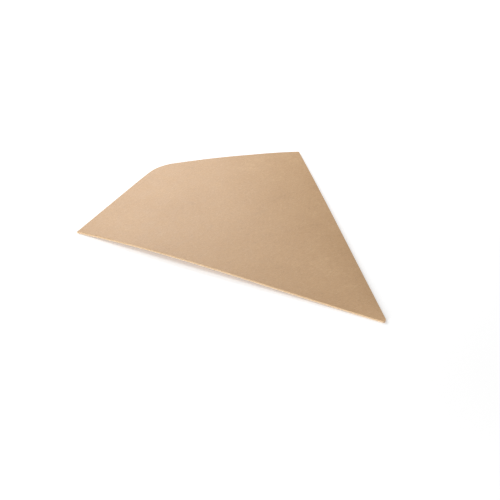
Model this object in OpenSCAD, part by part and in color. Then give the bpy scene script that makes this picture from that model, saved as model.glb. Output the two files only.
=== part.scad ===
// Flat-folded fry cone of kraft board, in millimetres. One sheet is die-cut, folded down its left side,
// and glued by a flap that is folded in along its right side. It lies on its back ply with its tip at -Y
// and its mouth at +Y. The origin is on the underside, in the middle of the cone's length and width.

/* [Blank] */
// Length of each side, from the sharp tip to the mouth's corner
side_l = 250; // [150:1:400]
// Angle between the two sides at the tip
tip_angle = 48; // [30:1:70]
// Angle between a side and the cut edge of the mouth
mouth_angle = 89; // [80:1:100]
// Thickness of the board
board_t = 0.45; // [0.3:0.05:0.8]
// Radius of the cut tip
tip_r = 2; // [1.5:0.5:10]
// Radius of the peak in the middle of the mouth
peak_r = 30; // [2:1:40]

/* [Folds] */
// Radius of the inside of each fold
fold_r = 0.15; // [0.1:0.05:0.5]
// Clear height between the two plies under the mouth's peak
mouth_gap = 3; // [1.5:0.1:12]
// How far the front ply's rise leans towards the seam, from 0 for an even rise
bow_lean = 0.8; // [0:0.1:0.9]

/* [Seam] */
// Width of the glue flap, from the outside of its fold to its free edge
flap_w = 15; // [8:1:25]
// Slant of the flap's end near the tip, from the side
flap_tip_slant = 30; // [20:1:45]
// Slant of the flap's end in the mouth, from the mouth's cut edge
flap_mouth_slant = 12; // [0:1:30]
// Distance from the sharp tip to the start of the flap
flap_start = 8; // [6:1:30]
// Distance from the mouth's cut edge back to the end of the flap
flap_back = 1; // [0.5:0.5:10]
// Step from the outside of the seam fold in to the back ply's cut edge
seam_step = 0.9; // [0.6:0.1:3]

/* [Hidden] */

// Half of the tip's angle, and how steeply the mouth's edges climb from their corners to the peak
half = tip_angle / 2;
mouth_rise = half + mouth_angle - 90;
// Mouth corners and the sharp peak, measured from the sharp tip
corner_x = side_l * sin(half);
corner_y = side_l * cos(half);
peak_y = corner_y + corner_x * tan(mouth_rise);
// Outside radius of a fold
fold_out = board_t + fold_r;
// Rise of the front ply at its middle, for each millimetre along the cone
crown = (mouth_gap - 2 * fold_r - board_t / 2) / peak_y;
// Straight board past each fold, where the fold runs into its ply
lap = 0.2;
// Lowest and highest point of the die-cut outline along the cone
tip_cut_y = tip_r / sin(half) - tip_r;
peak_cut_y = peak_y - peak_r / cos(mouth_rise) + peak_r;
// Middle of the outline's length, which is the origin
middle_y = (tip_cut_y + peak_cut_y) / 2;
// Waste past the outline that the cut takes off
waste = 5;
// Angle by which the arc of the tip ends short of each side, so that the cut crosses the folds cleanly
side_clear = 6;
// Faces round half a fold, across the front ply, and round the tip and the peak
fold_steps = 12;
crown_steps = 48;
cut_steps = 16;

kraft = "#CDAA87";

// Points on an arc about (x, y), from one angle to another
function arc(x, y, r, from, to, steps) = [
    for (i = [0:steps])
        let (a = from + (to - from) * i / steps)
            [x + r * cos(a), y + r * sin(a)]
];

// Where the right fold's axis lies at a distance y from the sharp tip. The left one mirrors it.
function axis_x(y) = (y * sin(half) - fold_out) / cos(half);

// Outer and inner point of a fold's wall at angle a, cut across the cone, as [x, z] pairs
function fold_wall(x, z, a) = [
    [x + fold_out / cos(half) * cos(a), z + fold_out * sin(a)],
    [x + fold_r / cos(half) * cos(a), z + fold_r * sin(a)]
];

// Upper face of the front ply, u running from -1 at the left fold to 1 at the seam fold.
// It climbs by one board thickness towards the seam, which is three plies thick, and is crowned between.
function front_z(y, u) =
    2 * fold_out + board_t * (1 + u) / 2 + crown * y * (1 - u * u) * (1 + bow_lean * u);

// The folded board cut across the cone at y: pairs of outer and inner points, from the back ply
// round the left fold, over the front ply and round the seam fold to the glue flap
function board_section(y) =
    let (x = axis_x(y), seam_z = board_t + fold_out)
        concat(
            [[[lap - x, 0], [lap - x, board_t]]],
            [for (i = [0:fold_steps]) fold_wall(-x, fold_out, -90 - 180 * i / fold_steps)],
            [
                for (i = [1:crown_steps - 1])
                    let (u = 2 * i / crown_steps - 1, z = front_z(y, u))
                        [[u * x, z], [u * x, z - board_t]]
            ],
            [for (i = [0:fold_steps]) fold_wall(x, seam_z, 90 - 180 * i / fold_steps)],
            [[[x - lap, board_t], [x - lap, 2 * board_t]]]
        );

// Two triangles for a face with corners a, b, c and d, given anticlockwise as seen from outside
function face(a, b, c, d) = [[a, c, b], [a, d, c]];

// The board ruled straight from the section at y_tip to the section at y_mouth, so its folds and its
// front ply fan out from the tip as in a real cone
module folded_board(y_tip, y_mouth) {
    ends = [y_tip, y_mouth];
    sections = [for (y = ends) board_section(y)];
    n = len(sections[0]);
    // Index of a point: end 0 or 1, side 0 outer or 1 inner, and place i along the section
    function at(end, side, i) = (end * 2 + side) * n + i;
    points = [
        for (end = [0, 1])
            for (side = [0, 1])
                for (pair = sections[end])
                    [pair[side][0], ends[end], pair[side][1]]
    ];
    skins = [
        for (i = [0:n - 2])
            each concat(
                face(at(0, 0, i), at(0, 0, i + 1), at(1, 0, i + 1), at(1, 0, i)),
                face(at(0, 1, i), at(1, 1, i), at(1, 1, i + 1), at(0, 1, i + 1)),
                face(at(0, 0, i), at(0, 1, i), at(0, 1, i + 1), at(0, 0, i + 1)),
                face(at(1, 0, i), at(1, 0, i + 1), at(1, 1, i + 1), at(1, 1, i))
            )
    ];
    edges = concat(
        face(at(0, 0, 0), at(1, 0, 0), at(1, 1, 0), at(0, 1, 0)),
        face(at(0, 0, n - 1), at(0, 1, n - 1), at(1, 1, n - 1), at(1, 0, n - 1))
    );
    polyhedron(points = points, faces = concat(skins, edges));
}

// Back ply, from the left fold's axis to its own cut edge, which stops short of the seam fold
module back_ply(y_mouth) {
    left = fold_out;
    right = seam_step;
    linear_extrude(board_t)
        polygon([
            [(left - right) / (2 * cos(half)), (left + right) / (2 * sin(half))],
            [(y_mouth * sin(half) - right) / cos(half), y_mouth],
            [(left - y_mouth * sin(half)) / cos(half), y_mouth]
        ]);
}

// Glue flap, lying on the back ply. It starts in the middle of the straight board past the seam fold, and
// is drawn a little way into the back ply, because the glued faces are one.
module glue_flap() {
    root = fold_out + lap / 2;
    reach = flap_w - root;
    sunk = board_t / 3;
    translate([0, 0, board_t - sunk])
        linear_extrude(board_t + sunk)
            rotate(-half)
                polygon([
                    [-root, flap_start],
                    [-flap_w, flap_start + reach / tan(flap_tip_slant)],
                    [-flap_w, side_l - flap_back - reach * tan(flap_mouth_slant)],
                    [-root, side_l - flap_back]
                ]);
}

// Outline that the die cuts: the rounded tip, the two slanted mouth edges and the rounded peak.
// Beside the folds it runs clear of the board.
module die_cut() {
    tip_y = tip_r / sin(half);
    peak_arc_y = peak_y - peak_r / cos(mouth_rise);
    side_x = corner_x + waste;
    side_y = corner_y - waste * tan(mouth_rise);
    tip_arc = arc(0, tip_y, tip_r, 180 + half + side_clear, 360 - half - side_clear, cut_steps);
    peak_arc = arc(0, peak_arc_y, peak_r, 90 - mouth_rise, 90 + mouth_rise, cut_steps);
    tip_end_y = tip_arc[0][1];
    polygon(concat(
        tip_arc,
        [[side_x, tip_end_y], [side_x, side_y]],
        peak_arc,
        [[-side_x, side_y], [-side_x, tip_end_y]]
    ));
}

// The folded and glued sheet
module fry_cone() {
    folds_meet_y = (fold_out + lap * cos(half)) / sin(half);
    y_tip = max(tip_cut_y - lap, folds_meet_y);
    y_mouth = peak_y + waste;
    height = 2 * mouth_gap + 3 * board_t + 2 * waste;
    color(kraft)
        translate([0, -middle_y, 0])
            intersection() {
                union() {
                    folded_board(y_tip, y_mouth);
                    back_ply(y_mouth);
                    glue_flap();
                }
                translate([0, 0, -waste])
                    linear_extrude(height)
                        die_cut();
            }
}

fry_cone();
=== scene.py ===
import math

import bmesh
import bpy
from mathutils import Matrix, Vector, noise


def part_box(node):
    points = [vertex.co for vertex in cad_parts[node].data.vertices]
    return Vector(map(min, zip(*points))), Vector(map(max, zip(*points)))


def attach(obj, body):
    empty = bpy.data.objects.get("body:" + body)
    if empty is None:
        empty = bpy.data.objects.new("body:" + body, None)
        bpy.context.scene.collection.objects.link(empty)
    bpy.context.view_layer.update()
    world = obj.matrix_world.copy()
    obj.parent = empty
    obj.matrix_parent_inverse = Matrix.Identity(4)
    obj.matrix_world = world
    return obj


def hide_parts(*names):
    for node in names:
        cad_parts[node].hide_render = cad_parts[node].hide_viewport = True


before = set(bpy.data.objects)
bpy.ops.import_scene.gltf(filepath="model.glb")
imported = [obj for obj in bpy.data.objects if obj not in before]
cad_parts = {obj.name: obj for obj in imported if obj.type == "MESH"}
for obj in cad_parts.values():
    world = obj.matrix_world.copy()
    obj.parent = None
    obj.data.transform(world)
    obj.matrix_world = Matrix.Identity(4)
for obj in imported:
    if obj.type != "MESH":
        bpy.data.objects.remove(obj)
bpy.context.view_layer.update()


# The camera. A long lens, in front of the cone's tip and to its left, looks down on the cone so that
# the tip points to the lower right of the picture and the mouth to the upper left.
MM = 0.001
scene = bpy.context.scene
camera = bpy.data.objects.new("camera", bpy.data.cameras.new("camera"))
camera.data.lens = 160
camera.data.sensor_width = 36
camera.location = (-831.2 * MM, -1092.7 * MM, 809.9 * MM)
camera.rotation_euler = (math.radians(59.27), 0, math.radians(-36.77))
scene.collection.objects.link(camera)
scene.camera = camera


# The cone. One sheet of kraft board is die-cut, folded down its left side, and closed by a glue flap
# that is folded in along its right side and glued to the inside of the back ply. Folded flat, it lies
# on its back ply, and its front ply springs up a few millimetres at the mouth.
SIDE = 250 * MM
HALF_ANGLE = math.radians(24)
MOUTH_CORNER = math.radians(89)
MOUTH_RISE = HALF_ANGLE + MOUTH_CORNER - math.pi / 2
TIP_RADIUS = 2 * MM
TIP_SIDE_CLEAR = math.radians(6)
PEAK_RADIUS = 30 * MM
BOARD = 0.45 * MM
FOLD_INSIDE = 0.15 * MM
MOUTH_GAP = 3 * MM
BOW_LEAN = 0.8
FLAP_WIDTH = 15 * MM
FLAP_START = 8 * MM
FLAP_BACK = 1 * MM
FLAP_TIP_ANGLE = math.radians(30)
FLAP_MOUTH_ANGLE = math.radians(12)
GLUE = 0.02 * MM
SEAM_STEP = 0.9 * MM

# The board is arched off the table. The skew sets where along the cone the arch is highest, the tilt
# makes it higher along the left fold, and the mouth's curve ends it at the mouth's corners too.
ARCH = 3 * MM
ARCH_SKEW = 1.5
ARCH_SHARE = 0.68
ARCH_TILT = 0.32
MOUTH_CURVE = 15.4

# Soft unevenness: a swell of the whole board, and waves in the front ply's bow.
SWELL = 0.12 * MM
SWELLS_PER_METRE = 9
SWELL_PATTERN = 7.7
WAVE = 0.16
WAVES_PER_METRE = 11
WAVE_PATTERN = 2.3

SIN, COS = math.sin(HALF_ANGLE), math.cos(HALF_ANGLE)
FLAP_TIP_SLANT = math.tan(FLAP_TIP_ANGLE)
FLAP_MOUTH_SLANT = math.tan(FLAP_MOUTH_ANGLE)
fold_outside = BOARD + FOLD_INSIDE
fold_middle = FOLD_INSIDE + BOARD / 2
fold_length = math.pi * fold_middle
peak_y = SIDE * COS + SIDE * SIN * math.tan(MOUTH_RISE)
crown = (MOUTH_GAP - 2 * FOLD_INSIDE - BOARD / 2) / peak_y
tip_centre_y = TIP_RADIUS / SIN
peak_centre_y = peak_y - PEAK_RADIUS / math.cos(MOUTH_RISE)
cut_tip_y = tip_centre_y - TIP_RADIUS
sharp_tip = Vector((0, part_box("fry_cone")[0].y - cut_tip_y, 0))


def fold_axis(y):
    """Distance of each fold's axis from the cone's middle line, at y from the sharp tip."""
    return (y * SIN - fold_outside) / COS


def tip_cut(x):
    """Where the rounded tip is cut. Its arc ends a little short of each side."""
    reach = min(abs(x), TIP_RADIUS * math.cos(HALF_ANGLE + TIP_SIDE_CLEAR))
    return tip_centre_y - math.sqrt(TIP_RADIUS**2 - reach**2)


def mouth_cut(x):
    """Where the mouth is cut: two slanted edges that meet in a rounded peak."""
    x = abs(x)
    if x < PEAK_RADIUS * math.sin(MOUTH_RISE):
        return peak_centre_y + math.sqrt(PEAK_RADIUS**2 - x**2)
    return peak_y - x * math.tan(MOUTH_RISE)


def spread(parts):
    """Steps from 0 to 1, closer together where a part asks for more steps."""
    steps = []
    for start, end, count in parts:
        steps += [start + (end - start) * i / count for i in range(count)]
    return steps + [1.0]


# Each column of the sheet runs from the tip to the mouth. The columns start at the back ply's cut edge
# and go round the left fold, over the front ply and round the seam fold to the flap's free edge. They
# are closest at a ply's middle, where the peak is, and beside its folds.
ROWS = 132
ply_steps = [(0, 0.03, 4), (0.03, 0.46, 38), (0.46, 0.54, 14), (0.54, 0.97, 38), (0.97, 1, 4)]
fold_steps = [(0, 1, 10)]
flap_steps = [(0, 1, 8)]
columns = [("back", f) for f in spread(ply_steps)]
columns += [("left fold", f) for f in spread(fold_steps)[1:]]
columns += [("front", f) for f in spread(ply_steps)[1:]]
columns += [("seam fold", f) for f in spread(fold_steps)[1:]]
columns += [("flap", f) for f in spread(flap_steps)[1:]]


def across(ply, f, y):
    """How far a column lies from the cone's middle line, at y from the sharp tip."""
    if ply == "back":
        right = (y * SIN - SEAM_STEP) / COS
        return right + f * (-fold_axis(y) - right)
    if ply == "left fold":
        return -fold_axis(y) - fold_middle / COS * math.sin(math.pi * f)
    if ply == "front":
        return (2 * f - 1) * fold_axis(y)
    if ply == "seam fold":
        return fold_axis(y) + fold_middle / COS * math.sin(math.pi * f)
    inset = fold_outside + f * (FLAP_WIDTH - fold_outside)
    return (y * SIN - inset) / COS


def end_of(ply, f, cut):
    """Where a column meets the line along which the tip or the mouth is cut. It starts half way up the
    cone, and comes nearer each time that the cut is looked up at the column's own place."""
    rounds = 12
    y = peak_y / 2
    for _ in range(rounds):
        y = cut(across(ply, f, y))
    return y


def ends_of(ply, f):
    """First and last y of a column. The flap is cut short at both ends, and slanted."""
    inset = fold_outside
    if ply == "flap":
        inset += f * (FLAP_WIDTH - fold_outside)
    flap_first = (FLAP_START + (inset - fold_outside) / FLAP_TIP_SLANT) * COS + inset * SIN
    flap_last = (SIDE - FLAP_BACK - (inset - fold_outside) * FLAP_MOUTH_SLANT) * COS + inset * SIN
    if ply == "flap":
        return flap_first, flap_last
    first, last = end_of(ply, f, tip_cut), end_of(ply, f, mouth_cut)
    if ply == "seam fold":
        return first + f * (flap_first - first), last + f * (flap_last - last)
    return first, last


def lift(x, y):
    """How far the board is arched off the table. The tip and the mouth lie on the table."""
    along = min(1.0, y / peak_y + MOUTH_CURVE * x * x)
    side = ARCH_SHARE - ARCH_TILT * x / max(y * SIN / COS, 1 * MM)
    place = Vector((x * SWELLS_PER_METRE, y * SWELLS_PER_METRE, SWELL_PATTERN))
    swell = 0.5 + 0.5 * noise.noise(place)
    return ARCH * math.sin(math.pi * along**ARCH_SKEW) * side + SWELL * swell


def height(ply, f, x, y):
    """Height of the middle of the board above the back ply's underside."""
    if ply == "back":
        return BOARD / 2
    if ply == "left fold":
        return fold_outside - fold_middle * math.cos(math.pi * f)
    if ply == "seam fold":
        return BOARD + fold_outside + fold_middle * math.cos(math.pi * f)
    if ply == "flap":
        return BOARD * 1.5 + GLUE
    u = 2 * f - 1
    bow = crown * y * (1 - u * u) * (1 + BOW_LEAN * u)
    place = Vector((x * WAVES_PER_METRE, y * WAVES_PER_METRE, WAVE_PATTERN))
    wave = noise.fractal(place, 0.6, 2.0, 3)
    base = 2 * fold_outside - BOARD / 2 + BOARD * (1 + u) / 2
    return base + bow * (1 + WAVE * wave)


def flat_place(ply, f, x, y):
    """The same point on the flat blank, before it was folded."""
    if ply == "front":
        return Vector((x, y))
    hand = 1 if ply in ("seam fold", "flap") else -1
    along = Vector((hand * SIN, COS))
    outward = Vector((hand * COS, -SIN))
    place = Vector((x, y))
    if ply.endswith("fold"):
        turned = f if hand == 1 else 1 - f
        past = -fold_outside + turned * fold_length
    else:
        past = -fold_outside + fold_length - place.dot(outward) - fold_outside
    return along * place.dot(along) + outward * past


def past_flap_edge(ply, x, y):
    """How far a point of the back ply lies inside the flap that is glued over it, in millimetres. The
    other plies get a place well outside it."""
    if ply != "back":
        return -9.0
    s = x * SIN + y * COS
    inset = y * SIN - x * COS
    first = FLAP_START + (inset - fold_outside) / FLAP_TIP_SLANT
    last = SIDE - FLAP_BACK - (inset - fold_outside) * FLAP_MOUTH_SLANT
    return min(FLAP_WIDTH - inset, (s - first) * math.sin(FLAP_TIP_ANGLE), last - s) / MM


# The sheet starts as a grid from -1 to 1, whose columns and rows are then laid along the folded board.
sheet = bmesh.new()
bmesh.ops.create_grid(sheet, x_segments=len(columns) - 1, y_segments=ROWS, size=1)
blank_map = sheet.loops.layers.uv.new("blank")
flap_under = sheet.verts.layers.float.new("flap_under")
left_fold = sheet.verts.layers.float.new("left_fold")
seam_fold = sheet.verts.layers.float.new("seam_fold")
column_ends = [ends_of(ply, f) for ply, f in columns]
blank_places = {}
for vertex in sheet.verts:
    i = round((vertex.co.x + 1) / 2 * (len(columns) - 1))
    ply, f = columns[i]
    first, last = column_ends[i]
    y = first + (last - first) * (vertex.co.y + 1) / 2
    x = across(ply, f, y)
    place = flat_place(ply, f, x, y)
    blank_places[vertex] = place
    vertex[flap_under] = past_flap_edge(ply, x, y)
    vertex[left_fold] = (place.dot(Vector((-COS, -SIN))) + fold_outside - fold_length / 2) / MM
    vertex[seam_fold] = (place.dot(Vector((COS, -SIN))) + fold_outside - fold_length / 2) / MM
    vertex.co = Vector((x, y, height(ply, f, x, y) + lift(x, y))) + sharp_tip
for face in sheet.faces:
    face.smooth = True
    for loop in face.loops:
        loop[blank_map].uv = blank_places[loop.vert] / MM
cone = bpy.data.objects.new("cone", bpy.data.meshes.new("cone"))
sheet.to_mesh(cone.data)
sheet.free()
scene.collection.objects.link(cone)


class Wire:
    """An output of a shader node. An expression on wires adds the Math nodes that work it out."""

    def __init__(self, finish, socket):
        self.finish = finish
        self.socket = socket

    def math(self, operation, *others):
        values = dict(enumerate((self, *others)))
        return self.finish.node("ShaderNodeMath", {"operation": operation}, values)

    def __add__(self, other):
        return self.math("ADD", other)

    __radd__ = __add__

    def __sub__(self, other):
        return self.math("SUBTRACT", other)

    def __rsub__(self, other):
        return (self * -1) + other

    def __mul__(self, other):
        return self.math("MULTIPLY", other)

    __rmul__ = __mul__


class Finish:
    """A procedural material with a Principled shader."""

    def __init__(self, name):
        self.material = bpy.data.materials.new(name)
        self.material.use_nodes = True
        self.tree = self.material.node_tree
        self.shader = self.tree.nodes["Principled BSDF"]

    def node(self, kind, settings=None, values=None, output=0):
        """Adds a node and returns one of its outputs. A value may be a Wire. An input or an output is
        called by its place, its name or its identifier."""
        node = self.tree.nodes.new(kind)
        for name, setting in (settings or {}).items():
            setattr(node, name, setting)
        for key, value in (values or {}).items():
            self.feed(node, key, value)
        return Wire(self, self.find(node.outputs, output))

    def find(self, sockets, key):
        if isinstance(key, int):
            return sockets[key]
        return next(s for s in sockets if key in (s.identifier, s.name))

    def feed(self, node, key, value):
        socket = self.find(node.inputs, key)
        if isinstance(value, Wire):
            self.tree.links.new(value.socket, socket)
        else:
            socket.default_value = value

    def object_place(self):
        """Where a point of the piece lies, in metres."""
        return self.node("ShaderNodeTexCoord", output="Object")

    def attribute(self, name):
        """A value that the piece's mesh carries."""
        return self.node("ShaderNodeAttribute", {"attribute_name": name}, output="Fac")

    def clouds(self, place, size, detail=3, rough=0.55, twist=0):
        """Noise with features of a size in millimetres, from 0 to 1."""
        values = {"Vector": place, "Scale": 1 / size, "Detail": detail, "Roughness": rough}
        values["Distortion"] = twist
        return self.node("ShaderNodeTexNoise", None, values)

    def ramp(self, value, start, end, low=0.0, high=1.0):
        """Carries a value smoothly from low to high as it goes from start to end."""
        values = {"Value": value, "From Min": start, "From Max": end}
        values.update({"To Min": low, "To Max": high})
        return self.node("ShaderNodeMapRange", {"interpolation_type": "SMOOTHSTEP"}, values)

    def mix(self, factor, a, b):
        """Carries colour a to colour b."""
        values = {"Factor_Float": factor, "A_Color": a, "B_Color": b}
        return self.node("ShaderNodeMix", {"data_type": "RGBA"}, values, "Result_Color")

    def turned(self, place, angle, stretch, shift):
        """Turns a pattern by an angle in degrees, and stretches it along its own x."""
        values = {"Vector": place, "Location": (shift, shift * 0.7, 0)}
        values.update({"Rotation": (0, 0, math.radians(angle)), "Scale": (1 / stretch, 1, 1)})
        return self.node("ShaderNodeMapping", None, values)

    def bump(self, strength, distance, relief, normal=None):
        """Relief of a distance in metres, on top of another relief where one is given."""
        values = {"Strength": strength, "Distance": distance, "Height": relief}
        if normal is not None:
            values["Normal"] = normal
        return self.node("ShaderNodeBump", None, values)


# Colours of the fibres and slivers in the board, and of the broken fibres on its folds.
PALE_FIBRE = (0.74, 0.555, 0.34, 1)
DARK_FIBRE = (0.26, 0.14, 0.06, 1)
BROWN_SLIVER = (0.2, 0.1, 0.045, 1)
BARK_SLIVER = (0.14, 0.07, 0.03, 1)
WORN_BOARD = (0.76, 0.58, 0.38, 1)


def kraft(name, middle, light, dark, shift, rough):
    """Unbleached kraft board: cloudy pulp, felted from fine fibres that lie every way."""
    finish = Finish(name)
    flat = finish.node("ShaderNodeUVMap", {"uv_map": "blank"})
    place = finish.node("ShaderNodeMapping", None, {"Vector": flat, "Location": (shift, shift, 0)})

    # Clouds of ever smaller size, and a faint run of streaks in the direction that the board was made in.
    drift = finish.clouds(place, size=55, detail=2)
    pulp = finish.clouds(place, size=8, detail=4, rough=0.6, twist=0.4)
    flock = finish.clouds(place, size=2.2, detail=4, rough=0.7, twist=0.6)
    machine_run = finish.turned(place, angle=6, stretch=3, shift=3)
    run = finish.clouds(machine_run, size=1.5, detail=3, rough=0.6, twist=0.5)
    grain = finish.clouds(place, size=0.35, detail=2, rough=0.6)
    # The number at the end is half of all the shares, so the tone lies about 0.
    tone = drift * 0.8 + pulp * 0.7 + flock * 0.7 + run * 0.3 + grain * 0.4 - 1.45
    colour = finish.mix(finish.ramp(tone, -0.5, 0.0), dark, middle)
    colour = finish.mix(finish.ramp(tone, 0.0, 0.5), colour, light)

    # Fine fibres are the thin lines along which a stretched noise crosses its middle. Each layer has its
    # own direction, length, spacing, thickness, colour and strength.
    layers = [
        (4, 8, 0.5, 0.045, PALE_FIBRE, 0.27),
        (-36, 7, 0.6, 0.045, DARK_FIBRE, 0.2),
        (34, 7, 0.5, 0.045, PALE_FIBRE, 0.24),
        (68, 6, 0.65, 0.045, DARK_FIBRE, 0.2),
        (-74, 6, 0.6, 0.04, PALE_FIBRE, 0.24),
        (-10, 9, 0.7, 0.04, DARK_FIBRE, 0.22),
    ]
    felt = 0
    for i, (angle, length, size, thin, tint, strength) in enumerate(layers):
        lie = finish.turned(place, angle, length, 17 * i)
        strand = (finish.clouds(lie, size, detail=2, rough=0.4, twist=0.7) - 0.5).math("ABSOLUTE")
        broken = finish.clouds(finish.turned(place, 0, 1, 5 * i), size=1.4, detail=2)
        strand = finish.ramp(strand, thin, 0) * finish.ramp(broken, 0.42, 0.58)
        colour = finish.mix(strand * strength, colour, tint)
        felt = felt + strand

    # A few coarse slivers of straw and bark are flecks in some of the cells of a stretched pattern. Each
    # kind has its own direction, length, spacing, share of the cells, thickness, colour and strength.
    slivers = [
        (14, 7, 2.4, 0.1, 0.08, PALE_FIBRE, 0.5),
        (-52, 6, 2.6, 0.08, 0.075, PALE_FIBRE, 0.45),
        (33, 3, 3.2, 0.07, 0.075, BROWN_SLIVER, 0.6),
        (-20, 1.5, 4.0, 0.06, 0.07, BARK_SLIVER, 0.7),
    ]
    for i, (angle, length, size, share, thin, tint, strength) in enumerate(slivers):
        lie = finish.turned(place, angle, length, 13 * i)
        cell = {"Vector": lie, "Scale": 1 / size}
        near = finish.node("ShaderNodeTexVoronoi", None, cell, "Distance")
        chance = finish.node("ShaderNodeTexVoronoi", None, cell, "Color")
        chance = finish.node("ShaderNodeSeparateColor", None, {"Color": chance}, "Red")
        fleck = finish.ramp(near, thin, thin * 0.3) * finish.ramp(chance, share + 0.02, share - 0.02)
        colour = finish.mix(fleck * strength, colour, tint)

    # The outer fibres of both folds are stretched and broken, which shows as a paler, rougher line. It
    # is full within 0.45 mm of a fold's middle, and gone at 1.25 mm.
    broken = finish.clouds(place, size=0.8, detail=3, rough=0.7)
    worn = 0
    for fold in ("left_fold", "seam_fold"):
        past = finish.attribute(fold).math("ABSOLUTE")
        worn = worn + finish.ramp(past + broken * 0.7, 1.25, 0.45)
    worn_tone = worn * finish.ramp(broken, 0.3, 0.7, 0.35, 0.8)
    colour = finish.mix(worn_tone, colour, WORN_BOARD)
    finish.feed(finish.shader, "Base Color", colour)
    finish.feed(finish.shader, "Roughness", rough + pulp * 0.12 + worn * 0.12)
    finish.shader.inputs["Specular IOR Level"].default_value = 0.5

    # The board's tooth, and over it the faint step where the glue flap shows through the back ply.
    relief = pulp * 0.5 + flock * 0.5 + grain * 0.35 + felt * 0.22 + broken * worn * 0.8
    tooth = finish.bump(0.5, 0.06 * MM, relief)
    step = finish.ramp(finish.attribute("flap_under"), -0.8, 0.5)
    finish.feed(finish.shader, "Normal", finish.bump(0.6, 0.15 * MM, step, tooth))
    return finish.material


# Colours of the cut edge, both paler than the faces: partly the cut fibres' own tone, partly a painted
# highlight.
CUT_DARK = (0.55, 0.37, 0.23, 1)
CUT_PALE = (0.84, 0.66, 0.48, 1)
LAYERS_PER_METRE = (160, 160, 14000)
PATCHES_PER_METRE = 240


def cut_board(name):
    """The die-cut edge, paler than the faces, partly in its own colour and partly by painted highlight,
    with fine pulp layers.
    """
    finish = Finish(name)
    place = finish.object_place()
    flat = finish.node("ShaderNodeMapping", None, {"Vector": place, "Scale": LAYERS_PER_METRE})
    layers = finish.node("ShaderNodeTexNoise", None, {"Vector": flat, "Scale": 1, "Detail": 3})
    patches = {"Vector": place, "Scale": PATCHES_PER_METRE, "Detail": 2}
    patches = finish.node("ShaderNodeTexNoise", None, patches)
    tone = layers * 0.7 + patches * 0.5 - 0.6
    colour = finish.mix(finish.ramp(tone, -0.3, 0.3), CUT_DARK, CUT_PALE)
    finish.feed(finish.shader, "Base Color", colour)
    finish.shader.inputs["Roughness"].default_value = 0.85
    finish.feed(finish.shader, "Normal", finish.bump(0.5, 0.04 * MM, layers))
    return finish.material


outside = kraft(
    "kraft outside",
    middle=(0.515, 0.302, 0.137, 1),
    light=(0.6, 0.377, 0.188, 1),
    dark=(0.42, 0.23, 0.092, 1),
    shift=300,
    rough=0.5,
)
inside = kraft(
    "kraft inside",
    middle=(0.53, 0.322, 0.155, 1),
    light=(0.612, 0.394, 0.208, 1),
    dark=(0.443, 0.251, 0.111, 1),
    shift=900,
    rough=0.46,
)
cone.data.materials.append(outside)
cone.data.materials.append(inside)
cone.data.materials.append(cut_board("cut edge"))
wall = cone.modifiers.new("board", "SOLIDIFY")
wall.thickness = BOARD
wall.offset = 0
wall.use_even_offset = True
wall.material_offset = 1
wall.material_offset_rim = 2
solid = cone.evaluated_get(bpy.context.evaluated_depsgraph_get())
cone.data = bpy.data.meshes.new_from_object(solid)
cone.modifiers.clear()
cone.data.set_sharp_from_angle(angle=math.radians(50))
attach(cone, "root")
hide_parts("fry_cone")


# The table: a plain, matt, near-white floor. It glows a little, and more so further off, where the
# lamps don't reach it, so that it stays as pale there as around the cone. Its sizes are in metres.
FLOOR_REACH = 40
FLOOR_BELOW = 0.05 * MM
GLOW_FROM, GLOW_TO = 0.15, 0.8
GLOW_NEAR = (0.25, 0.25, 0.25, 1)
GLOW_FAR = (0.6, 0.6, 0.6, 1)
ground = bmesh.new()
bmesh.ops.create_grid(ground, x_segments=1, y_segments=1, size=FLOOR_REACH)
bmesh.ops.translate(ground, verts=ground.verts, vec=(0, 0, -FLOOR_BELOW))
floor = bpy.data.objects.new("floor", bpy.data.meshes.new("floor"))
ground.to_mesh(floor.data)
ground.free()
scene.collection.objects.link(floor)
paint = Finish("floor paint")
paint.shader.inputs["Base Color"].default_value = (0.93, 0.93, 0.93, 1)
paint.shader.inputs["Roughness"].default_value = 0.9
paint.shader.inputs["Specular IOR Level"].default_value = 0.1
length = {"operation": "LENGTH"}
distance = paint.node("ShaderNodeVectorMath", length, {"Vector": paint.object_place()}, "Value")
glow = paint.mix(paint.ramp(distance, GLOW_FROM, GLOW_TO), GLOW_NEAR, GLOW_FAR)
paint.feed(paint.shader, "Emission Color", glow)
paint.shader.inputs["Emission Strength"].default_value = 1
floor.data.materials.append(paint.material)


# Studio light: a large soft lamp behind the mouth on the left, a second one behind it on the right,
# whose gloss pales the board towards the mouth, a low one at the front left that lights the near fold,
# and an even, pale surround.
def softbox(name, place, target, size, watts):
    """A round lamp, turned towards a target."""
    lamp = bpy.data.objects.new(name, bpy.data.lights.new(name, "AREA"))
    lamp.data.shape = "DISK"
    lamp.data.size = size
    lamp.data.energy = watts
    lamp.location = place
    lamp.rotation_euler = (Vector(target) - Vector(place)).to_track_quat("-Z", "Y").to_euler()
    scene.collection.objects.link(lamp)


softbox("key", (-0.35, 0.75, 0.55), (0, 0.05, 0), size=0.45, watts=3.6)
softbox("sheen", (0.25, 0.59, 0.35), (-0.08, 0.08, 0), size=0.3, watts=2.5)
softbox("edge", (-1.35, -0.62, 0.25), (0, 0, 0), size=0.5, watts=14)
world = bpy.data.worlds.new("surround")
world.use_nodes = True
surround = world.node_tree.nodes["Background"]
surround.inputs["Color"].default_value = (1, 1, 1, 1)
surround.inputs["Strength"].default_value = 0.44
scene.world = world
scene.view_settings.view_transform = "Standard"
